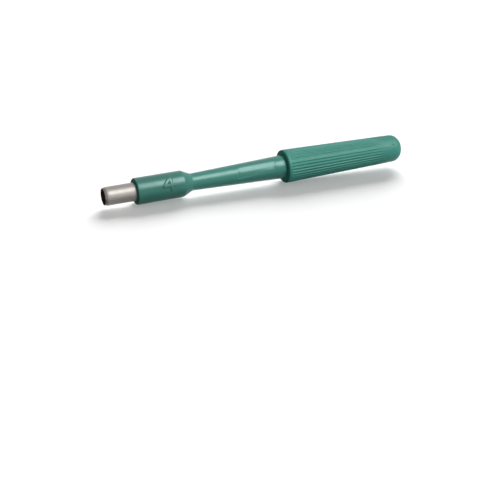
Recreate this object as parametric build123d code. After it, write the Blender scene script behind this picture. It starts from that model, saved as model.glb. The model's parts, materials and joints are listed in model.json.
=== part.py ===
from build123d import *
import math
import os

# A biopsy punch that lies on its side: a ground steel tube, set in a moulded
# handle whose rear end carries a ribbed, closed grip cap.
# All lengths are in millimetres. Every piece is built along the X axis, with
# the cutting edge at X = 0, and the finished punch is then laid on its side.

# Cutting tube
bore_dia = 4.0            # the core of tissue that the punch takes
blade_wall = 0.225
blade_out = 7.55          # how far the tube stands out of the handle
bevel_length = 0.75       # ground on the outside only
edge_land = 0.02          # what the grinding leaves of the wall at the edge

# Barrel of the handle, which holds the tube
barrel_wall = 0.975
barrel_length = 11.9
barrel_round = 0.5        # its front edge
socket_clearance = 0.02   # the film of adhesive around the tube
socket_floor = 2.6        # solid plastic behind the tube

# Raised size digit on the barrel
digit_height = 3.2
digit_width = 2.9
digit_stroke = 0.42
digit_relief = 0.18
digit_inset = 4.1         # from the barrel's rear end to the digit's middle
stem_share = 0.72         # where the upright stands across the digit
bar_share = 0.3           # where the crossbar lies up the digit

# Shoulder and flaring neck
shoulder_length = 2.4
shoulder_front_round = 0.7
shoulder_rear_round = 1.4
neck_front_dia = 4.15
neck_rear_dia = 5.8
neck_length = 24.45
neck_end_round = 0.15

# Sunken panel on the neck
panel_length = 10.8
panel_width = 3.3
panel_depth = 0.12
panel_round = 0.4
panel_inset = 2.3         # from the panel's rear edge to the neck's end

# Spigot behind the neck, which the cap is pushed on until it meets the neck
spigot_ledge = 0.9        # flat ring of the neck's end that stops the cap
spigot_lead = 0.5
key_depth = 0.4           # flat that keeps the cap in line with the marks

# Grip cap
cap_clearance = 0.02
cap_end_clearance = 0.3   # between the spigot's end and the bottom of its bore
cap_end_wall = 4.4        # solid plastic behind that bore
cap_front_wall = 2.28
cap_rear_wall = 1.53
cap_length = 33.4
cap_rim_round = 0.5
dome_share = 0.75         # rounding of the closed end, of its radius
collar_length = 0.8       # plain rim in front of the ribs
plain_end_length = 3.9    # plain closed end behind the ribs

# Ribs of the cap: each half has a row of grooves, with a wider plain land
# in line with the marks and another opposite
half_gap_count = 16
rib_pitch_angle = 10.75
rib_gap_width = 0.44
rib_gap_depth = 0.2

# Mark that the moulding gate leaves on the land, near the closed end
gate_dia = 0.9
gate_depth = 0.25
gate_inset = 3.3          # from the closed end to the gate's middle

# The marks face the user's side, this many degrees above the horizontal
mark_angle = 32

# Radii and stations along the axis that follow from these sizes
bore_radius = bore_dia / 2
blade_radius = bore_radius + blade_wall
barrel_radius = blade_radius + barrel_wall
neck_front_radius = neck_front_dia / 2
neck_rear_radius = neck_rear_dia / 2
spigot_radius = neck_rear_radius - neck_end_round - spigot_ledge
key_reach = spigot_radius - key_depth
cap_bore_radius = spigot_radius + cap_clearance
cap_front_radius = cap_bore_radius + cap_front_wall
cap_rear_radius = cap_bore_radius + cap_rear_wall

barrel_start = blade_out
barrel_end = barrel_start + barrel_length
blade_end = barrel_end - socket_floor
neck_start = barrel_end + shoulder_length
neck_end = neck_start + neck_length
cap_start = neck_end
cap_end = cap_start + cap_length
cap_bore_end = cap_end - cap_end_wall
spigot_end = cap_bore_end - cap_end_clearance

cap_taper = math.atan((cap_front_radius - cap_rear_radius) / cap_length)
mark_plane = Plane(
    origin=(0, 0, 0),
    x_dir=(1, 0, 0),
    z_dir=(0, -math.cos(math.radians(mark_angle)), math.sin(math.radians(mark_angle))),
)


def turned(corners):
    """Turn a closed outline of (station, radius, rounding) corners about X."""
    points = [(station, radius) for station, radius, rounding in corners]
    roundings = [rounding for station, radius, rounding in corners]
    outline = FilletPolyline(*points, radius=roundings, close=True)
    return revolve(make_face(outline), axis=Axis.X)


def rod(radius, start, end):
    """A plain round bar on the X axis, from one station to another."""
    return turned([(start, 0, 0), (start, radius, 0), (end, radius, 0), (end, 0, 0)])


def make_blade_tube():
    """Seamless tube, ground on the outside to a keen edge at its mouth."""
    return turned([
        (0, bore_radius, 0),
        (0, bore_radius + edge_land, 0),
        (bevel_length, blade_radius, 0),
        (blade_end, blade_radius, 0),
        (blade_end, bore_radius, 0),
    ])


def key_segment(radius, reach, end):
    """The part of a bar behind the neck that lies above the key's flat."""
    side = 2 * radius
    block = Box(end - neck_end, side, side, align=(Align.MIN, Align.CENTER, Align.MIN))
    return rod(radius, neck_end, end) & mark_plane * Pos(neck_end, 0, reach) * block


def make_digit():
    """The raised figure 4: strokes that stand up from the barrel's surface."""
    stem_place = digit_width * (stem_share - 0.5)
    bar_place = digit_height * (bar_share - 0.5)
    stem = Pos(stem_place, 0) * Rectangle(digit_stroke, digit_height)
    bar = Pos(0, bar_place) * Rectangle(digit_width, digit_stroke)
    foot = (digit_stroke / 2 - digit_width / 2, bar_place)
    head = (stem_place, digit_height / 2 - digit_stroke / 2)
    slope = trace(Line(foot, head), line_width=digit_stroke)
    strokes = mark_plane * Pos(barrel_end - digit_inset, 0) * (stem + bar + slope)
    reach = barrel_radius + digit_relief
    return extrude(strokes, amount=reach) & rod(reach, barrel_start, barrel_end)


def make_panel_cut():
    """What is taken from the neck for its sunken panel, which follows the flare."""
    middle = neck_end - panel_inset - panel_length / 2
    field = mark_plane * Pos(middle, 0) * RectangleRounded(panel_length, panel_width, panel_round)
    floor = turned([
        (neck_start, 0, 0),
        (neck_start, neck_front_radius - panel_depth, 0),
        (neck_end, neck_rear_radius - panel_depth, 0),
        (neck_end, 0, 0),
    ])
    return extrude(field, amount=neck_rear_radius) - floor


def make_handle_body():
    """Barrel, shoulder, neck and spigot, moulded as one piece."""
    body = turned([
        (barrel_start, 0, 0),
        (barrel_start, barrel_radius, barrel_round),
        (barrel_end, barrel_radius, shoulder_front_round),
        (neck_start, neck_front_radius, shoulder_rear_round),
        (neck_end, neck_rear_radius, neck_end_round),
        (neck_end, spigot_radius, 0),
        (spigot_end - spigot_lead, spigot_radius, 0),
        (spigot_end, spigot_radius - spigot_lead, 0),
        (spigot_end, 0, 0),
    ])
    socket = rod(blade_radius + socket_clearance, barrel_start, blade_end)
    key = key_segment(spigot_radius, key_reach, spigot_end)
    return body + make_digit() - socket - make_panel_cut() - key


def make_rib_gaps():
    """The round-bottomed grooves that leave the cap's lengthwise ribs."""
    gap_radius = (rib_gap_width**2 / 4 + rib_gap_depth**2) / (2 * rib_gap_depth)
    bar = rod(gap_radius, collar_length, cap_length - plain_end_length)
    gap = Pos(0, 0, gap_radius - rib_gap_depth) * bar
    slope = Rot(0, math.degrees(cap_taper), 0)
    on_land = mark_plane * Pos(cap_start, 0, cap_front_radius) * slope * gap
    first = 90 - rib_pitch_angle * (half_gap_count - 1) / 2
    turns = [first + rib_pitch_angle * number for number in range(half_gap_count)]
    return [Rot(half + turn, 0, 0) * on_land for half in (0, 180) for turn in turns]


def make_gate_mark():
    """The small round dimple that the moulding gate leaves near the dome."""
    place = mark_plane * Pos(cap_end - gate_inset, 0, cap_rear_radius)
    return place * Cylinder(gate_dia / 2, gate_depth * 2)


def make_grip_cap():
    """Closed cap with a tapered, ribbed skirt and a rounded rear end."""
    shell = turned([
        (cap_start, cap_bore_radius, 0),
        (cap_start, cap_front_radius, cap_rim_round),
        (cap_end, cap_rear_radius, dome_share * cap_rear_radius),
        (cap_end, 0, 0),
        (cap_bore_end, 0, 0),
        (cap_bore_end, cap_bore_radius, 0),
    ])
    key = key_segment(cap_bore_radius, key_reach + cap_clearance, cap_bore_end)
    return shell + key - make_rib_gaps() - make_gate_mark()


def laid_down(pieces):
    """Lay the punch on the rims of its barrel and its cap, tip a little down."""
    rim_depth = cap_rim_round * (math.tan(cap_taper) + 1 / math.cos(cap_taper))
    run = (cap_start + cap_rim_round) - (barrel_start + barrel_round)
    rise = (cap_front_radius - rim_depth) - (barrel_radius - barrel_round)
    tilt = math.atan2(rise, run) + math.asin((cap_rim_round - barrel_round) / math.hypot(run, rise))
    turned_over = [Rot(0, -math.degrees(tilt), 0) * piece for piece in pieces]
    box = Compound(turned_over).bounding_box()
    place = Pos(-box.center().X, -box.center().Y, -box.min.Z)
    return [place * piece for piece in turned_over]


nodes = {
    "blade_tube": make_blade_tube(),
    "handle_body": make_handle_body(),
    "grip_cap": make_grip_cap(),
}

os.makedirs("parts", exist_ok=True)
for name, piece in zip(nodes, laid_down(nodes.values())):
    export_step(piece, f"parts/{name}.step")
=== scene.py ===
"""A skin biopsy punch lying on a white table: a ground steel tube in a green moulded handle."""

import json
import logging
import math
from collections.abc import Callable
from dataclasses import dataclass
from enum import Enum

import bmesh
import bpy
from mathutils import Matrix, Vector


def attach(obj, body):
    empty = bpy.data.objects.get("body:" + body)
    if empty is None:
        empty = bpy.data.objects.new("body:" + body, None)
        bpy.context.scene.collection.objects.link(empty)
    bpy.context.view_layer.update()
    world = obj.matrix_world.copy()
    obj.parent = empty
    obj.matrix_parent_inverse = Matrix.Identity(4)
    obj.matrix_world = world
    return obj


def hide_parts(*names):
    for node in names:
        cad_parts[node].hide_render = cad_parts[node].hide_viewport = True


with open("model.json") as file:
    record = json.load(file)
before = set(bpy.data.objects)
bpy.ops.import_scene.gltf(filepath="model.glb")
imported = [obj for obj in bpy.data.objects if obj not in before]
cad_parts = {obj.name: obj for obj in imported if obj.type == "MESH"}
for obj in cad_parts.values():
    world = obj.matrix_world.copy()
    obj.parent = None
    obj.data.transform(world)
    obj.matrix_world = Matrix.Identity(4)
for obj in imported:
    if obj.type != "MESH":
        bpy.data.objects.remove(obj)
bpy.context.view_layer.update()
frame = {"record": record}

LOG = logging.getLogger("punch")
MM = 0.001

# Modelling: points nearer than these, in millimetres, count as one
CUT_DISTANCE = 1e-5
MERGE_DISTANCE = 1e-4

# Modelling: the bevel profile that makes an arc, the least angle in degrees of
# an edge that stays sharp, and how far forwards a front face's normal leans
ROUND_PROFILE = 0.5
SHARP_ANGLE = 40.0
# Faces leaning forwards past this get a darker finish with painted shade
FRONT_LEAN = -0.6

# Patterns: noise keeps near its middle, so it is spread until it fills 0 to 1;
# the melt flowed along the punch, and bands of lines are wider than the lines
NOISE_SPREAD = (-0.5, 1.5)
FLOW_STRETCH = (0.3, 1.0, 1.0)
BAND_SCALE = 0.22

Colour = tuple[float, float, float]
Shape = bmesh.types.BMesh
Thing = bpy.types.Object
Tree = bpy.types.NodeTree
Node = bpy.types.Node
Socket = bpy.types.NodeSocket


@dataclass(frozen=True)
class Axis:
    """The line that every piece of the punch is turned about.

    Pieces are modelled in millimetres, with their station along +X from the
    cutting edge and +Z towards the marks. The axis lays them in the frame.
    """

    tip: Vector
    along: Vector
    mark_angle: float = 32.0

    @classmethod
    def from_bore(cls, record: dict) -> "Axis":
        """Find the axis from the bore that the record declares.

        Args:
            record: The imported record.

        Returns:
            The axis through the tube's bore, starting at its cutting edge.
        """
        bore = next(mount for mount in record["mounts"] if mount["kind"] == "bore")
        outward = Vector(bore["axis"]).normalized()
        half_length = bore["dims"]["length_mm"] * MM / 2
        return cls(tip=Vector(bore["pos_m"]) + outward * half_length, along=-outward)

    def placement(self) -> Matrix:
        """Work out how a modelled piece is laid in the frame.

        Returns:
            The transform from modelling millimetres to the frame's metres.
        """
        side = Vector((0, 0, 1)).cross(self.along).normalized()
        above = self.along.cross(side)
        angle = math.radians(self.mark_angle)
        to_marks = above * math.sin(angle) - side * math.cos(angle)
        across = to_marks.cross(self.along)
        turn = Matrix((self.along, across, to_marks)).transposed().to_4x4()
        return Matrix.Translation(self.tip) @ turn @ Matrix.Scale(MM, 4)


@dataclass(frozen=True)
class Corner:
    """One corner of a turned outline: its station, radius and rounding."""

    station: float
    radius: float
    rounding: float = 0.0
    segments: int = 8

    def tangent_length(self, before: "Corner", after: "Corner") -> float:
        """Work out how far from the corner its rounding starts.

        Args:
            before: The corner before this one.
            after: The corner after this one.

        Returns:
            The length between the corner and each end of its arc.
        """
        here = Vector((self.station, self.radius))
        inward = here - Vector((before.station, before.radius))
        onward = Vector((after.station, after.radius)) - here
        return self.rounding * math.tan(inward.angle(onward) / 2)


@dataclass(frozen=True)
class Rings:
    """A stretch of a turned piece that gets extra rings of faces."""

    start: float
    end: float
    pitch: float

    def stations(self) -> list[float]:
        """Give the stations of the rings, ends included."""
        count = max(1, math.ceil((self.end - self.start) / self.pitch))
        return [self.start + (self.end - self.start) * number / count for number in range(count + 1)]


def turned(corners: list[Corner], stretches: list[Rings], sectors: int, sector_steps: int) -> Shape:
    """Spin a closed outline about the axis into a solid.

    Args:
        corners: The outline's corners in order.
        stretches: Where extra rings of faces are cut.
        sectors: How many equal sectors make the full turn.
        sector_steps: How many faces go round one sector.

    Returns:
        A closed mesh with its faces outwards.
    """
    shape = bmesh.new()
    points = [shape.verts.new((corner.station, 0, corner.radius)) for corner in corners]
    for here in range(len(corners)):
        if corners[here - 1].radius or corners[here].radius:
            shape.edges.new((points[here - 1], points[here]))
    for here, corner in enumerate(corners):
        if corner.rounding:
            after = corners[(here + 1) % len(corners)]
            bmesh.ops.bevel(
                shape, geom=[points[here]], offset=corner.tangent_length(corners[here - 1], after),
                offset_type="OFFSET", segments=corner.segments, profile=ROUND_PROFILE,
                affect="VERTICES", material=-1,
            )
    for station in sorted({station for rings in stretches for station in rings.stations()}):
        bmesh.ops.bisect_plane(
            shape, geom=shape.verts[:] + shape.edges[:], dist=CUT_DISTANCE,
            plane_co=(station, 0, 0), plane_no=(1, 0, 0),
        )
    bmesh.ops.spin(
        shape, geom=shape.verts[:] + shape.edges[:], cent=(0, 0, 0), axis=(1, 0, 0),
        angle=math.tau / sectors, steps=sector_steps,
    )
    bmesh.ops.spin(
        shape, geom=shape.verts[:] + shape.edges[:] + shape.faces[:], cent=(0, 0, 0), axis=(1, 0, 0),
        angle=math.tau * (sectors - 1) / sectors, steps=sectors - 1, use_duplicate=True,
    )
    bmesh.ops.remove_doubles(shape, verts=shape.verts, dist=MERGE_DISTANCE)
    bmesh.ops.recalc_face_normals(shape, faces=shape.faces)
    return shape


def smooth_step(value: float) -> float:
    """Ease a share from 0 to 1, level at both ends."""
    share = min(1.0, max(0.0, value))
    return share * share * (3 - 2 * share)


def pushed(shape: Shape, radius_from: float, height: Callable[[float, float, float], float]) -> None:
    """Move the outer surface of a turned piece in or out by a height that follows its place.

    Args:
        shape: The turned piece.
        radius_from: Only points further than this from the axis are moved.
        height: Gives the move in millimetres for a station, a radius and an
            angle from the marks.
    """
    for vertex in shape.verts:
        radius = math.hypot(vertex.co.y, vertex.co.z)
        if radius > radius_from:
            angle = math.atan2(vertex.co.y, vertex.co.z)
            scale = 1 + height(vertex.co.x, radius, angle) / radius
            vertex.co.y *= scale
            vertex.co.z *= scale


def distance_to_stroke(place: Vector, start: Vector, end: Vector) -> float:
    """Measure how far a place on the surface lies from a straight stroke.

    Args:
        place: The place.
        start: One end of the stroke.
        end: Its other end.

    Returns:
        The distance to the nearest point of the stroke.
    """
    run = end - start
    share = min(1.0, max(0.0, (place - start).dot(run) / run.length_squared))
    return (place - start - run * share).length


def mark_front_faces(shape: Shape) -> None:
    """Give the faces that look forwards along the axis the piece's second finish, with painted shade.

    Args:
        shape: The turned piece.
    """
    shape.normal_update()
    for face in shape.faces:
        face.material_index = int(face.normal.x < FRONT_LEAN)


def finished(shape: Shape, name: str, axis: Axis) -> Thing:
    """Turn a mesh in modelling millimetres into a finished object of the frame.

    Args:
        shape: The mesh, which is freed.
        name: The object's name.
        axis: Where the punch lies.

    Returns:
        The object, at the origin with its place in its mesh.
    """
    shape.transform(axis.placement())
    mesh = bpy.data.meshes.new(name)
    shape.to_mesh(mesh)
    shape.free()
    mesh.shade_smooth()
    mesh.set_sharp_from_angle(angle=math.radians(SHARP_ANGLE))
    thing = bpy.data.objects.new(name, mesh)
    bpy.context.scene.collection.objects.link(thing)
    return thing


def feed(tree: Tree, socket: Socket, value: object) -> None:
    """Give an input its value, or link it to the output that drives it.

    Args:
        tree: The node tree that holds the input.
        socket: The input.
        value: A plain value or an output socket.
    """
    if isinstance(value, Socket):
        tree.links.new(value, socket)
    else:
        socket.default_value = value


def add_node(tree: Tree, kind: str, inputs: dict[str | int, object], **settings: object) -> Node:
    """Add a shader node, set its properties and fill its inputs.

    Args:
        tree: The node tree that it joins.
        kind: The node's type.
        inputs: A value or an output socket for each input, by name or number.
        settings: The node's properties.

    Returns:
        The new node.
    """
    node = tree.nodes.new(kind)
    for name, value in settings.items():
        setattr(node, name, value)
    for key, value in inputs.items():
        feed(tree, node.inputs[key], value)
    return node


def blended(tree: Tree, share: Socket, low: Colour, high: Colour) -> Socket:
    """Mix two colours.

    Args:
        tree: The node tree that mixes them.
        share: The second colour's share, from 0 to 1.
        low: The first colour.
        high: The second colour.

    Returns:
        The mixed colour.
    """
    mix = add_node(tree, "ShaderNodeMix", {}, data_type="RGBA")
    sockets = {socket.name: socket for socket in mix.inputs if socket.enabled}
    for name, value in (("Factor", share), ("A", (*low, 1)), ("B", (*high, 1))):
        feed(tree, sockets[name], value)
    return next(socket for socket in mix.outputs if socket.enabled)


def spread(tree: Tree, share: Socket, low: float, high: float) -> Socket:
    """Stretch a share from 0 to 1 over the values from low to high."""
    reach = add_node(tree, "ShaderNodeMapRange", {"Value": share, "To Min": low, "To Max": high})
    return reach.outputs["Result"]


def shaded(colour: Colour, factor: float) -> Colour:
    """Make a colour lighter or darker."""
    return tuple(part * factor for part in colour)


def new_group(name: str, inputs: dict[str, str], outputs: tuple[str, ...]) -> tuple[Tree, Node, Node]:
    """Start a node group with named sockets.

    Args:
        name: The group's name.
        inputs: The kind of each input, by name.
        outputs: The names of the outputs, each a plain number.

    Returns:
        The group, its input node and its output node.
    """
    group = bpy.data.node_groups.new(name, "ShaderNodeTree")
    for label, kind in inputs.items():
        group.interface.new_socket(label, in_out="INPUT", socket_type=kind)
    for label in outputs:
        group.interface.new_socket(label, in_out="OUTPUT", socket_type="NodeSocketFloat")
    return group, group.nodes.new("NodeGroupInput"), group.nodes.new("NodeGroupOutput")


def placed(tree: Tree, effect: Tree, inputs: dict[str, object]) -> Node:
    """Place a shared effect in a material, with the material's own values."""
    return add_node(tree, "ShaderNodeGroup", inputs, node_tree=effect)


@dataclass(frozen=True)
class Effects:
    """The surface effects that several finishes share, one node group each."""

    moulding: Tree
    working: Tree
    handling: Tree

    @classmethod
    def build(cls) -> "Effects":
        """Make the groups once for all materials."""
        return cls(cls.make_moulding(), cls.make_working(), cls.make_handling())

    @staticmethod
    def make_moulding() -> Tree:
        """Make the skin of moulded plastic: fine grain, and tone that drifts where the melt flowed.

        Returns:
            The group, with a height for the grain and a share for the drift.
        """
        group, given, result = new_group(
            "moulding",
            {"Place": "NodeSocketVector", "Grain Scale": "NodeSocketFloat", "Drift Scale": "NodeSocketFloat"},
            ("Grain", "Drift"),
        )
        grain = add_node(group, "ShaderNodeTexNoise", {
            "Vector": given.outputs["Place"], "Scale": given.outputs["Grain Scale"],
            "Detail": 3.0, "Roughness": 0.6,
        })
        flow = add_node(group, "ShaderNodeVectorMath", {
            0: given.outputs["Place"], 1: FLOW_STRETCH,
        }, operation="MULTIPLY")
        drift = add_node(group, "ShaderNodeTexNoise", {
            "Vector": flow.outputs["Vector"], "Scale": given.outputs["Drift Scale"],
            "Detail": 2.0, "Distortion": 0.4,
        })
        group.links.new(grain.outputs["Fac"], result.inputs["Grain"])
        group.links.new(spread(group, drift.outputs["Fac"], *NOISE_SPREAD), result.inputs["Drift"])
        return group

    @staticmethod
    def make_working() -> Tree:
        """Make the fine lines of drawn or ground metal, some deeper than others.

        Returns:
            The group, with a height for the lines and a share for their tone.
        """
        group, given, result = new_group(
            "working", {"Place": "NodeSocketVector", "Lines": "NodeSocketVector"}, ("Height", "Tone"),
        )
        across = add_node(group, "ShaderNodeVectorMath", {
            0: given.outputs["Place"], 1: given.outputs["Lines"],
        }, operation="MULTIPLY")
        fine = add_node(group, "ShaderNodeTexNoise", {
            "Vector": across.outputs["Vector"], "Scale": 1.0, "Detail": 4.0, "Roughness": 0.7,
        })
        bands = add_node(group, "ShaderNodeTexNoise", {
            "Vector": across.outputs["Vector"], "Scale": BAND_SCALE, "Detail": 1.0,
        })
        group.links.new(fine.outputs["Fac"], result.inputs["Height"])
        group.links.new(spread(group, bands.outputs["Fac"], *NOISE_SPREAD), result.inputs["Tone"])
        return group

    @staticmethod
    def make_handling() -> Tree:
        """Make the faint clouds that fingers and packing leave on a smooth surface.

        Returns:
            The group, with a share that says how hazy a place is.
        """
        group, given, result = new_group(
            "handling", {"Place": "NodeSocketVector", "Scale": "NodeSocketFloat"}, ("Haze",),
        )
        clouds = add_node(group, "ShaderNodeTexNoise", {
            "Vector": given.outputs["Place"], "Scale": given.outputs["Scale"],
            "Detail": 5.0, "Roughness": 0.65, "Distortion": 0.8,
        })
        haze = add_node(group, "ShaderNodeMapRange", {
            "Value": clouds.outputs["Fac"], "From Min": 0.42, "From Max": 0.72,
        })
        group.links.new(haze.outputs["Result"], result.inputs["Haze"])
        return group


@dataclass(frozen=True)
class Finish:
    """What every finish of the punch starts from."""

    name: str
    colour: Colour
    roughness: float

    def start(self, axis: Axis) -> tuple[bpy.types.Material, Node, Socket]:
        """Start the material.

        Args:
            axis: Where the punch lies, which the patterns follow.

        Returns:
            The material, its shader, and a place in modelling millimetres.
        """
        material = bpy.data.materials.new(self.name)
        material.use_nodes = True
        tree = material.node_tree
        placement = axis.placement()
        place = add_node(tree, "ShaderNodeMapping", {
            "Vector": tree.nodes.new("ShaderNodeTexCoord").outputs["Object"],
            "Location": placement.translation,
            "Rotation": placement.to_euler(),
            "Scale": (MM, MM, MM),
        }, vector_type="TEXTURE")
        return material, tree.nodes["Principled BSDF"], place.outputs["Vector"]

    def varied(self, tree: Tree, share: Socket, reach: float) -> Socket:
        """Let the colour vary up and down by a part of itself."""
        return blended(tree, share, shaded(self.colour, 1 - reach), shaded(self.colour, 1 + reach))

    def polished(self, tree: Tree, haze: Node, best: float, worst: float) -> Socket:
        """Let the roughness grow from its best to its worst with the haze."""
        return spread(tree, haze.outputs["Haze"], self.roughness - best, self.roughness + worst)

    def cover(self, tree: Tree, shader: Node, looks: dict[str, Socket], height: Socket, depth: float) -> None:
        """Give the shader what varies over the surface.

        Args:
            tree: The material's node tree.
            shader: The material's shader.
            looks: The outputs that drive the shader's inputs, by name.
            height: The relief, from 0 to 1.
            depth: How deep the relief is, in millimetres.
        """
        bump = add_node(tree, "ShaderNodeBump", {"Strength": 1.0, "Distance": depth * MM, "Height": height})
        for name, look in looks.items():
            tree.links.new(look, shader.inputs[name])
        tree.links.new(bump.outputs["Normal"], shader.inputs["Normal"])


@dataclass(frozen=True)
class MouldedPlastic(Finish):
    """Solid coloured plastic out of a mould, with a soft sheen.

    Where its painted shade tone isn't 1, its colour is multiplied by that tone up to
    one station, as painted shade, and eases back to its own by another.
    """

    sheen_level: float = 0.55
    sheen_tint: Colour = (0.8, 1.0, 0.97)
    shade_until: float = 0.0
    shade_gone_by: float = 1.0
    painted_shade_tone: float = 1.0
    grain_scale: float = 5.0
    grain_height: float = 0.004
    drift_scale: float = 0.35
    drift_tone: float = 0.05
    haze_scale: float = 0.4
    best_polish: float = 0.02
    worst_polish: float = 0.07

    def with_painted_shade(self, tree: Tree, place: Socket, tone: Socket) -> Socket:
        """Darken the colour towards the front of the piece, as painted shade.

        Args:
            tree: The material's node tree.
            place: A place in modelling millimetres.
            tone: The colour without the painted shade.

        Returns:
            The colour at the place.
        """
        station = add_node(tree, "ShaderNodeSeparateXYZ", {"Vector": place}).outputs["X"]
        share = add_node(tree, "ShaderNodeMapRange", {
            "Value": station, "From Min": self.shade_until, "From Max": self.shade_gone_by,
            "To Min": self.painted_shade_tone, "To Max": 1.0,
        }, interpolation_type="SMOOTHSTEP")
        return add_node(tree, "ShaderNodeVectorMath", {
            0: tone, "Scale": share.outputs["Result"],
        }, operation="SCALE").outputs["Vector"]

    def material(self, axis: Axis, effects: Effects) -> bpy.types.Material:
        """Build the material.

        Args:
            axis: Where the punch lies.
            effects: The shared surface effects.

        Returns:
            The material.
        """
        material, shader, place = self.start(axis)
        tree = material.node_tree
        skin = placed(tree, effects.moulding, {
            "Place": place, "Grain Scale": self.grain_scale, "Drift Scale": self.drift_scale,
        })
        haze = placed(tree, effects.handling, {"Place": place, "Scale": self.haze_scale})
        tone = self.varied(tree, skin.outputs["Drift"], self.drift_tone)
        # Painted shade: the colour darkens towards the front
        if self.painted_shade_tone != 1:
            tone = self.with_painted_shade(tree, place, tone)
        gloss = self.polished(tree, haze, self.best_polish, self.worst_polish)
        shader.inputs["Specular IOR Level"].default_value = self.sheen_level
        shader.inputs["Specular Tint"].default_value = (*self.sheen_tint, 1)
        looks = {"Base Color": tone, "Roughness": gloss}
        self.cover(tree, shader, looks, skin.outputs["Grain"], self.grain_height)
        return material


class Working(Enum):
    """Which way the fine lines of worked metal run: how many cross a millimetre, along X, Y and Z."""

    DRAWN_ALONG = (0.05, 9.0, 9.0)
    GROUND_AROUND = (14.0, 0.15, 0.15)


@dataclass(frozen=True)
class WorkedSteel(Finish):
    """Stainless steel that shows how it was worked."""

    working: Working = Working.DRAWN_ALONG
    line_height: float = 0.002
    tone_range: float = 0.08
    haze_scale: float = 0.7
    best_polish: float = 0.03
    worst_polish: float = 0.06

    def material(self, axis: Axis, effects: Effects) -> bpy.types.Material:
        """Build the material.

        Args:
            axis: Where the punch lies.
            effects: The shared surface effects.

        Returns:
            The material.
        """
        material, shader, place = self.start(axis)
        tree = material.node_tree
        lines = placed(tree, effects.working, {"Place": place, "Lines": self.working.value})
        haze = placed(tree, effects.handling, {"Place": place, "Scale": self.haze_scale})
        tone = self.varied(tree, lines.outputs["Tone"], self.tone_range)
        gloss = self.polished(tree, haze, self.best_polish, self.worst_polish)
        shader.inputs["Metallic"].default_value = 1.0
        looks = {"Base Color": tone, "Roughness": gloss}
        self.cover(tree, shader, looks, lines.outputs["Height"], self.line_height)
        return material


class TubeZone(Enum):
    """The surfaces of the tube, each with the number of its finish."""

    OUTSIDE = 0
    BEVEL = 1
    BORE = 2


@dataclass
class BladeTube:
    """The seamless steel tube, ground on the outside to a keen edge."""

    bore_radius: float = 2.0
    wall: float = 0.225
    length: float = 16.85
    bevel_length: float = 0.75
    edge_land: float = 0.02
    bevel_blend: float = 2.0
    bevel_segments: int = 6
    bright_share: float = 0.8
    bore_margin: float = 0.005
    # Painted shade: the bevel's colour is multiplied by this tone
    bevel_shade_tone: float = 0.55
    # Painted shade: the bore's colour is multiplied by this tone
    bore_shade_tone: float = 0.12
    sectors: int = 8
    sector_steps: int = 20

    def build(self, axis: Axis) -> Thing:
        """Make the tube.

        Args:
            axis: Where the punch lies.

        Returns:
            The tube, with each face given to its zone's finish.
        """
        outside = self.bore_radius + self.wall
        shape = turned(
            [
                Corner(0, self.bore_radius),
                Corner(0, self.bore_radius + self.edge_land),
                Corner(self.bevel_length, outside, self.bevel_blend, self.bevel_segments),
                Corner(self.length, outside),
                Corner(self.length, self.bore_radius),
            ],
            [], self.sectors, self.sector_steps,
        )
        for face in shape.faces:
            middle = face.calc_center_median()
            face.material_index = self.zone_at(middle.x, math.hypot(middle.y, middle.z)).value
        return finished(shape, "tube", axis)

    def zone_at(self, station: float, radius: float) -> TubeZone:
        """Tell which surface of the tube a place belongs to.

        Args:
            station: The place's station along the axis.
            radius: Its distance from the axis.

        Returns:
            The zone; the bright part of the bevel counts as bevel, the rest as outside.
        """
        if radius < self.bore_radius + self.bore_margin:
            return TubeZone.BORE
        if station < self.bevel_length * self.bright_share:
            return TubeZone.BEVEL
        return TubeZone.OUTSIDE

    def dress(self, piece: Thing, axis: Axis, effects: Effects, colour: Colour) -> None:
        """Give the outside, the bevel and the bore their steel, with painted shade on the bevel and the bore.

        Args:
            piece: The tube.
            axis: Where the punch lies.
            effects: The shared surface effects.
            colour: The steel's base colour.
        """
        finishes = {
            TubeZone.OUTSIDE: WorkedSteel("drawn_steel", colour, 0.42),
            # The bevel: ground lines, its colour darkened as painted shade
            TubeZone.BEVEL: WorkedSteel(
                "ground_bevel_painted_shade", shaded(colour, self.bevel_shade_tone), 0.35,
                working=Working.GROUND_AROUND, line_height=0.004, tone_range=0.16,
            ),
            # The bore, darkened as painted shade
            TubeZone.BORE: WorkedSteel(
                "dull_bore_painted_shade", shaded(colour, self.bore_shade_tone), 0.6, line_height=0.004, tone_range=0.2,
            ),
        }
        for zone in TubeZone:
            piece.data.materials.append(finishes[zone].material(axis, effects))


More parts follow.
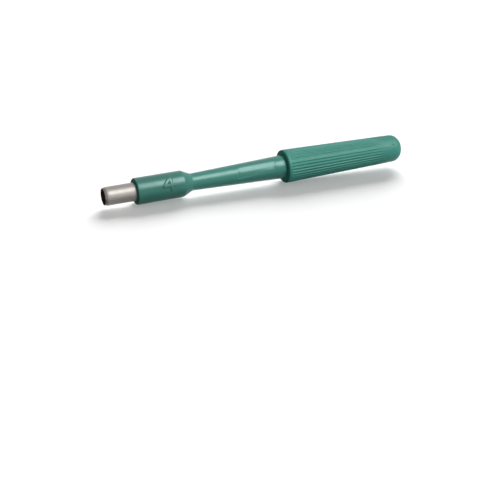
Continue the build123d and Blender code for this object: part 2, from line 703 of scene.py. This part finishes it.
@dataclass
class HandleBody:
    """The green moulding: barrel, shoulder, flaring neck and the hidden spigot."""

    blade_out: float = 7.55
    barrel_radius: float = 3.2
    barrel_length: float = 11.9
    barrel_round: float = 0.5
    socket_radius: float = 2.245
    socket_floor: float = 2.6
    shoulder_length: float = 2.4
    shoulder_front_round: float = 0.7
    shoulder_rear_round: float = 1.4
    neck_front_radius: float = 2.075
    neck_rear_radius: float = 2.9
    neck_length: float = 24.45
    neck_end_round: float = 0.15
    neck_end_segments: int = 5
    spigot_radius: float = 1.85
    spigot_length: float = 28.7
    spigot_lead: float = 0.5

    # Raised size digit, and how far its rings reach as a share of its width
    digit_height: float = 3.2
    digit_width: float = 2.9
    digit_stroke: float = 0.44
    digit_relief: float = 0.18
    digit_draft: float = 0.3
    digit_inset: float = 4.1
    digit_reach_share: float = 0.6
    stem_share: float = 0.72
    bar_share: float = 0.3

    # Sunken panel; its draft grows towards the rear and the top, from these
    # shares of its length and width before its middle
    panel_length: float = 10.8
    panel_width: float = 3.3
    panel_depth: float = 0.12
    panel_draft: float = 0.1
    panel_rear_draft: float = 1.6
    panel_round: float = 0.4
    panel_inset: float = 2.3
    rearward_share: float = 0.6
    upward_share: float = 0.5

    # Rings of faces: how far they reach past and into the panel, their
    # pitches, and how far outside the socket's wall the surface may be moved
    panel_margin: float = 0.2
    panel_front_reach: float = 0.6
    panel_rear_reach: float = 1.8
    fine_pitch: float = 0.05
    rear_pitch: float = 0.1
    long_pitch: float = 0.5
    skin_margin: float = 0.05

    # Looks: painted shade over the barrel, easing out by the neck, and on the front face
    painted_shade_tone: float = 0.75
    shade_margin: float = 2.0
    end_shade_tone: float = 0.4

    sectors: int = 8
    sector_steps: int = 50

    @property
    def barrel_end(self) -> float:
        """Station of the barrel's rear end."""
        return self.blade_out + self.barrel_length

    @property
    def neck_start(self) -> float:
        """Station where the shoulder passes into the neck."""
        return self.barrel_end + self.shoulder_length

    @property
    def neck_end(self) -> float:
        """Station of the neck's rear end."""
        return self.neck_start + self.neck_length

    def digit_height_at(self, station: float, radius: float, angle: float) -> float:
        """Work out the relief of the raised 4 on the barrel.

        Args:
            station: The place's station along the axis.
            radius: Its distance from the axis.
            angle: Its angle from the marks.

        Returns:
            How far the surface stands up there.
        """
        place = Vector((station - self.barrel_end + self.digit_inset, radius * math.sin(angle)))
        if abs(angle) > math.pi / 2 or place.length > self.digit_height:
            return 0.0
        half_stroke = self.digit_stroke / 2
        stem = self.digit_width * (self.stem_share - 0.5)
        bar = self.digit_height * (self.bar_share - 0.5)
        top = self.digit_height / 2 - half_stroke
        side = self.digit_width / 2 - half_stroke
        strokes = (
            (Vector((stem, -top)), Vector((stem, top))),
            (Vector((-side, bar)), Vector((side, bar))),
            (Vector((-side, bar)), Vector((stem, top))),
        )
        gap = min(distance_to_stroke(place, start, end) for start, end in strokes) - half_stroke
        return self.digit_relief * (1 - smooth_step(gap / self.digit_draft))

    def panel_height_at(self, station: float, radius: float, angle: float) -> float:
        """Work out the depth of the sunken panel on the neck.

        Args:
            station: The place's station along the axis.
            radius: Its distance from the axis.
            angle: Its angle from the marks.

        Returns:
            How far the surface stands up there, which is less than 0 in the panel.
        """
        middle = self.neck_end - self.panel_inset - self.panel_length / 2
        if abs(angle) > math.pi / 2:
            return 0.0
        aside = radius * math.sin(angle)
        beyond_end = abs(station - middle) - self.panel_length / 2 + self.panel_round
        beyond_side = abs(aside) - self.panel_width / 2 + self.panel_round
        outside = math.hypot(max(beyond_end, 0), max(beyond_side, 0)) - self.panel_round
        gap = outside + min(max(beyond_end, beyond_side), 0)
        rearward = smooth_step((station - middle) / self.panel_length + self.rearward_share)
        upward = smooth_step(aside / self.panel_width + self.upward_share)
        draft = self.panel_draft + (self.panel_rear_draft - self.panel_draft) * max(rearward, upward)
        return -self.panel_depth * (1 - smooth_step(gap / draft + 1))

    def height_at(self, station: float, radius: float, angle: float) -> float:
        """Work out the relief of the marks at any place on the outside.

        Args:
            station: The place's station along the axis.
            radius: Its distance from the axis.
            angle: Its angle from the marks.

        Returns:
            How far the surface stands up there.
        """
        if station < self.barrel_end:
            return self.digit_height_at(station, radius, angle)
        return self.panel_height_at(station, radius, angle)

    def rings(self) -> list[Rings]:
        """Work out where the marks need finer faces.

        Returns:
            The stretches across the digit and the panel.
        """
        digit = self.barrel_end - self.digit_inset
        digit_reach = self.digit_width * self.digit_reach_share
        panel_end = self.neck_end - self.panel_inset
        panel_start = panel_end - self.panel_length
        front_edge = panel_start + self.panel_front_reach
        rear_edge = panel_end - self.panel_rear_reach
        return [
            Rings(digit - digit_reach, digit + digit_reach, self.fine_pitch),
            Rings(panel_start - self.panel_margin, front_edge, self.fine_pitch),
            Rings(front_edge, rear_edge, self.long_pitch),
            Rings(rear_edge, panel_end + self.panel_margin, self.rear_pitch),
        ]

    def build(self, axis: Axis) -> Thing:
        """Make the moulding.

        Args:
            axis: Where the punch lies.

        Returns:
            The moulding, with its front face given to the second finish.
        """
        spigot_end = self.neck_end + self.spigot_length
        socket_end = self.barrel_end - self.socket_floor
        shape = turned(
            [
                Corner(self.blade_out, self.socket_radius),
                Corner(self.blade_out, self.barrel_radius, self.barrel_round),
                Corner(self.barrel_end, self.barrel_radius, self.shoulder_front_round),
                Corner(self.neck_start, self.neck_front_radius, self.shoulder_rear_round),
                Corner(self.neck_end, self.neck_rear_radius, self.neck_end_round, self.neck_end_segments),
                Corner(self.neck_end, self.spigot_radius),
                Corner(spigot_end - self.spigot_lead, self.spigot_radius),
                Corner(spigot_end, self.spigot_radius - self.spigot_lead),
                Corner(spigot_end, 0),
                Corner(socket_end, 0),
                Corner(socket_end, self.socket_radius),
            ],
            self.rings(), self.sectors, self.sector_steps,
        )
        pushed(shape, self.socket_radius + self.skin_margin, self.height_at)
        mark_front_faces(shape)
        return finished(shape, "handle", axis)

    def dress(self, piece: Thing, axis: Axis, effects: Effects, colour: Colour) -> None:
        """Give the flanks glossy plastic and the front face dull plastic, both with painted shade.

        Args:
            piece: The moulding.
            axis: Where the punch lies.
            effects: The shared surface effects.
            colour: The plastic's base colour.
        """
        for finish in (
            # The flanks, darkened over the barrel as painted shade
            MouldedPlastic(
                "glossy_handle", colour, 0.3, painted_shade_tone=self.painted_shade_tone,
                shade_until=self.barrel_end - self.shade_margin, shade_gone_by=self.neck_start,
            ),
            # The front face, darkened as painted shade
            MouldedPlastic(
                "dull_handle_end_painted_shade", shaded(colour, self.end_shade_tone), 0.7, sheen_level=0.1, grain_height=0.02,
            ),
        ):
            piece.data.materials.append(finish.material(axis, effects))


@dataclass
class GripCap:
    """The closed cap with its ribbed skirt, pushed on the handle's spigot."""

    start: float = 46.3
    length: float = 33.4
    bore_radius: float = 1.87
    front_radius: float = 4.15
    rear_radius: float = 3.398
    end_wall: float = 4.4
    rim_round: float = 0.5
    rim_segments: int = 10
    dome_share: float = 0.75
    dome_segments: int = 20

    # Grooves between the ribs, and the stretches over which they deepen behind
    # the collar and fade out before the plain end
    collar_length: float = 0.8
    plain_end: float = 3.9
    run_in: float = 0.3
    run_out: float = 7.0
    groove_depth: float = 0.18
    groove_fullness: float = 1.15
    half_groove_count: int = 16
    steps_per_groove: int = 16
    steps_per_land: int = 28

    # Dimple of the moulding gate
    gate_inset: float = 3.3
    gate_radius: float = 0.5
    gate_depth: float = 0.14
    gate_draft: float = 0.35

    # Rings of faces: their pitches, and how far outside the bore's wall the
    # surface may be moved
    run_in_pitch: float = 0.08
    long_pitch: float = 5.0
    run_out_pitch: float = 0.5
    gate_pitch: float = 0.06
    skin_margin: float = 0.05

    # Painted shade: the front face's colour is multiplied by this tone
    end_shade_tone: float = 0.7
    sectors: int = 8

    @property
    def end(self) -> float:
        """Station of the closed end."""
        return self.start + self.length

    @property
    def half_steps(self) -> int:
        """Faces round half the cap: grooves side by side and one plain land."""
        return (self.half_groove_count - 1) * self.steps_per_groove + self.steps_per_land

    def groove_at(self, station: float, angle: float) -> float:
        """Work out the depth of the grooves between the ribs.

        Args:
            station: The place's station along the axis.
            angle: Its angle from the marks.

        Returns:
            How far the surface stands up there, which is less than 0 in a groove.
        """
        step = abs(angle) / math.pi * self.half_steps
        first = self.steps_per_land / 2
        last = self.half_steps - first
        if step < first - self.steps_per_groove / 2 or step > last + self.steps_per_groove / 2:
            return 0.0
        phase = (step - first) / self.steps_per_groove
        across = 0.5 + 0.5 * math.cos(math.tau * phase)
        ends = smooth_step((station - self.start - self.collar_length) / self.run_in)
        ends *= smooth_step((self.end - self.plain_end - station) / self.run_out)
        return -self.groove_depth * smooth_step(across * self.groove_fullness) * ends

    def gate_at(self, station: float, radius: float, angle: float) -> float:
        """Give the depth of the gate's dimple at a place on the land."""
        away = math.hypot(station - self.end + self.gate_inset, radius * angle)
        return -self.gate_depth * (1 - smooth_step((away - self.gate_radius) / self.gate_draft + 1))

    def height_at(self, station: float, radius: float, angle: float) -> float:
        """Give the depth of grooves and gate mark together."""
        return self.groove_at(station, angle) + self.gate_at(station, radius, angle)

    def rings(self) -> list[Rings]:
        """Work out where the grooves and the gate mark need finer faces.

        Returns:
            The stretches along the ribs and across the gate mark.
        """
        ribs_start = self.start + self.collar_length
        ribs_end = self.end - self.plain_end
        full_from = ribs_start + self.run_in
        full_until = ribs_end - self.run_out
        gate = self.end - self.gate_inset
        return [
            Rings(ribs_start, full_from, self.run_in_pitch),
            Rings(full_from, full_until, self.long_pitch),
            Rings(full_until, ribs_end, self.run_out_pitch),
            Rings(gate - self.gate_radius, gate + self.gate_radius, self.gate_pitch),
        ]

    def build(self, axis: Axis) -> Thing:
        """Make the cap.

        Args:
            axis: Where the punch lies.

        Returns:
            The cap, with its front face given to the second finish.
        """
        bore_end = self.end - self.end_wall
        dome_round = self.dome_share * self.rear_radius
        shape = turned(
            [
                Corner(self.start, self.bore_radius),
                Corner(self.start, self.front_radius, self.rim_round, self.rim_segments),
                Corner(self.end, self.rear_radius, dome_round, self.dome_segments),
                Corner(self.end, 0),
                Corner(bore_end, 0),
                Corner(bore_end, self.bore_radius),
            ],
            self.rings(), self.sectors, self.half_steps * 2 // self.sectors,
        )
        pushed(shape, self.bore_radius + self.skin_margin, self.height_at)
        mark_front_faces(shape)
        return finished(shape, "cap", axis)

    def dress(self, piece: Thing, axis: Axis, effects: Effects, colour: Colour) -> None:
        """Give the skirt its satin plastic, and the front face a dull plastic with painted shade.

        Args:
            piece: The cap.
            axis: Where the punch lies.
            effects: The shared surface effects.
            colour: The plastic's base colour.
        """
        for finish in (
            MouldedPlastic(
                "satin_cap", colour, 0.5,
                sheen_level=0.4, sheen_tint=(0.85, 1.0, 0.97), grain_height=0.006,
            ),
            # The front face, darkened as painted shade
            MouldedPlastic(
                "dull_cap_end_painted_shade", shaded(colour, self.end_shade_tone), 0.7, sheen_level=0.1, grain_height=0.02,
            ),
        ):
            piece.data.materials.append(finish.material(axis, effects))


@dataclass(frozen=True)
class Viewpoint:
    """Where the camera stands, measured from the middle of the cutting edge."""

    elevation: float = 22.8
    heading: float = 24.3
    lens: float = 75.6
    sensor: float = 36.0
    nearest: float = 10.0
    tip_right: float = -34.13
    tip_down: float = -12.33
    tip_ahead: float = 243.98

    def build(self, axis: Axis) -> Thing:
        """Place the camera and make it the scene's own.

        Args:
            axis: Where the punch lies.

        Returns:
            The camera.
        """
        heading = math.radians(self.heading)
        elevation = math.radians(self.elevation)
        level = Vector((math.sin(heading), math.cos(heading), 0))
        up = Vector((0, 0, 1))
        right = Vector((math.cos(heading), -math.sin(heading), 0))
        ahead = level * math.cos(elevation) - up * math.sin(elevation)
        above = level * math.sin(elevation) + up * math.cos(elevation)
        place = axis.tip - (right * self.tip_right - above * self.tip_down + ahead * self.tip_ahead) * MM
        turn = Matrix((right, above, -ahead)).transposed().to_4x4()
        data = bpy.data.cameras.new("camera")
        data.lens = self.lens
        data.sensor_width = self.sensor
        data.sensor_fit = "HORIZONTAL"
        data.clip_start = self.nearest * MM
        camera = bpy.data.objects.new("camera", data)
        camera.matrix_world = Matrix.Translation(place) @ turn
        bpy.context.scene.collection.objects.link(camera)
        bpy.context.scene.camera = camera
        return camera


class Reach(Enum):
    """What a lamp lights."""

    TABLE = "the table"
    PUNCH = "the punch"
    STEEL = "the steel of the punch"
    PLASTIC = "the plastic of the punch"


class Light(Enum):
    """What a lamp adds to the surfaces that it lights."""

    ALL = "body and sheen"
    BODY = "body colour alone"
    SHEEN = "sheen alone"


@dataclass(frozen=True)
class SoftLamp:
    """A large lamp far away, aimed at the punch: angles and softness in degrees."""

    name: str
    elevation: float
    bearing: float
    level: float
    softness: float
    reach: Reach = Reach.PUNCH
    light: Light = Light.ALL
    casts_shadow: bool = True

    def build(self, receivers: list[Thing]) -> Thing:
        """Place the lamp.

        Args:
            receivers: The objects that it lights.

        Returns:
            The lamp; its level is the share of full white that it gives a level surface.
        """
        elevation = math.radians(self.elevation)
        bearing = math.radians(self.bearing)
        towards = Vector((
            math.cos(elevation) * math.sin(bearing),
            math.cos(elevation) * math.cos(bearing),
            math.sin(elevation),
        ))
        data = bpy.data.lights.new(self.name, "SUN")
        data.energy = self.level * math.pi / math.sin(elevation)
        data.angle = math.radians(self.softness)
        data.use_shadow = self.casts_shadow
        lamp = bpy.data.objects.new(self.name, data)
        lamp.rotation_euler = towards.to_track_quat("Z", "Y").to_euler()
        lamp.visible_glossy = self.light is not Light.BODY
        lamp.visible_diffuse = self.light is not Light.SHEEN
        lamp.light_linking.receiver_collection = bpy.data.collections.new(self.name)
        for receiver in receivers:
            lamp.light_linking.receiver_collection.objects.link(receiver)
        bpy.context.scene.collection.objects.link(lamp)
        return lamp


@dataclass(frozen=True)
class Studio:
    """The white table, the soft light round it and the lamps.

    The table's fill has no softness. When it was soft, the table near the punch
    came out in one of two brightnesses, which changed from run to run.
    """

    dome_left: float = 0.05
    dome_right: float = 0.3
    backdrop: float = 1.0
    floor_bounce: float = 0.22
    floor_size: float = 3.0
    lamps: tuple[SoftLamp, ...] = (
        SoftLamp("shadow_lamp", 24, 32, level=0.68, softness=38, reach=Reach.TABLE),
        SoftLamp("table_fill", 70, 180, level=0.27, softness=0, reach=Reach.TABLE, casts_shadow=False),
        SoftLamp("lamp_behind", 40, 20, level=0.03, softness=50, light=Light.BODY),
        SoftLamp("lamp_in_front", 50, 143, level=0.29, softness=36),
        SoftLamp("sheen_lamp", 50, 143, level=0.48, softness=46, reach=Reach.PLASTIC, light=Light.SHEEN),
        SoftLamp("steel_lamp", 28, 143, level=0.1, softness=24, reach=Reach.STEEL, light=Light.SHEEN),
        SoftLamp("low_lamp", 25, 170, level=0.05, softness=60, light=Light.BODY),
        SoftLamp("lamp_at_the_left", 40, 230, level=0.02, softness=8),
    )

    def seen_directly(self, tree: Tree) -> Socket:
        """Find what the camera sees directly, in gloss or through glass.

        Args:
            tree: The node tree that asks.

        Returns:
            1 for what is seen so, and 0 for what only throws light back.
        """
        path = tree.nodes.new("ShaderNodeLightPath").outputs
        first = add_node(tree, "ShaderNodeMath", {
            0: path["Is Camera Ray"], 1: path["Is Glossy Ray"],
        }, operation="MAXIMUM")
        return add_node(tree, "ShaderNodeMath", {
            0: first.outputs["Value"], 1: path["Is Transmission Ray"],
        }, operation="MAXIMUM").outputs["Value"]

    def build_floor(self) -> Thing:
        """Make the table, white to the eye and darker in the light that it throws back.

        Returns:
            The table's top.
        """
        material = bpy.data.materials.new("table")
        material.use_nodes = True
        tree = material.node_tree
        colour = blended(tree, self.seen_directly(tree), (self.floor_bounce,) * 3, (1.0, 1.0, 1.0))
        surface = add_node(tree, "ShaderNodeBsdfDiffuse", {"Color": colour})
        tree.links.new(surface.outputs["BSDF"], tree.nodes["Material Output"].inputs["Surface"])
        shape = bmesh.new()
        bmesh.ops.create_grid(shape, x_segments=1, y_segments=1, size=self.floor_size)
        mesh = bpy.data.meshes.new("floor")
        shape.to_mesh(mesh)
        shape.free()
        mesh.materials.append(material)
        floor = bpy.data.objects.new("floor", mesh)
        bpy.context.scene.collection.objects.link(floor)
        return floor

    def build_world(self) -> bpy.types.World:
        """Make the even light from all round, stronger at the right, and the white backdrop.

        Returns:
            The scene's world.
        """
        world = bpy.data.worlds.new("studio")
        world.use_nodes = True
        tree = world.node_tree
        direction = tree.nodes.new("ShaderNodeTexCoord").outputs["Generated"]
        parts = add_node(tree, "ShaderNodeSeparateXYZ", {"Vector": direction}).outputs
        rightness = add_node(tree, "ShaderNodeMapRange", {"Value": parts["X"], "From Min": -1.0})
        strength = add_node(tree, "ShaderNodeMix", {
            "Factor": self.seen_directly(tree),
            "A": spread(tree, rightness.outputs["Result"], self.dome_left, self.dome_right),
            "B": self.backdrop,
        }).outputs["Result"]
        tree.links.new(strength, tree.nodes["Background"].inputs["Strength"])
        tree.nodes["Background"].inputs["Color"].default_value = (1, 1, 1, 1)
        bpy.context.scene.world = world
        return world

    def build(self, pieces: list[Thing]) -> None:
        """Make the whole studio.

        Args:
            pieces: The pieces of the punch, the steel one first.
        """
        self.build_world()
        receivers = {
            Reach.TABLE: [self.build_floor()],
            Reach.PUNCH: pieces,
            Reach.STEEL: pieces[:1],
            Reach.PLASTIC: pieces[1:],
        }
        for lamp in self.lamps:
            lamp.build(receivers[lamp.reach])
            LOG.info("%s: lights %s at a level of %.2f", lamp.name, lamp.reach.value, lamp.level)
        bpy.context.scene.view_settings.view_transform = "Standard"


def slot_colour(slot: str) -> Colour:
    """Give the base colour that the record states for a material slot."""
    return next(tuple(each["base_color"]) for each in frame["record"]["materials"] if each["slot"] == slot)


def main() -> None:
    """Build the punch and its studio."""
    axis = Axis.from_bore(frame["record"])
    effects = Effects.build()
    pieces = []
    for maker, node, slot in (
        (BladeTube(), "blade_tube", "steel"),
        (HandleBody(), "handle_body", "handle_plastic"),
        (GripCap(), "grip_cap", "cap_plastic"),
    ):
        piece = maker.build(axis)
        maker.dress(piece, axis, effects, slot_colour(slot))
        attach(piece, "root")
        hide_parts(node)
        pieces.append(piece)
        LOG.info("%s: %d faces, %d finishes", piece.name, len(piece.data.polygons), len(piece.data.materials))
    Viewpoint().build(axis)
    Studio().build(pieces)


if __name__ == "__main__":
    logging.basicConfig(level=logging.INFO)
    main()
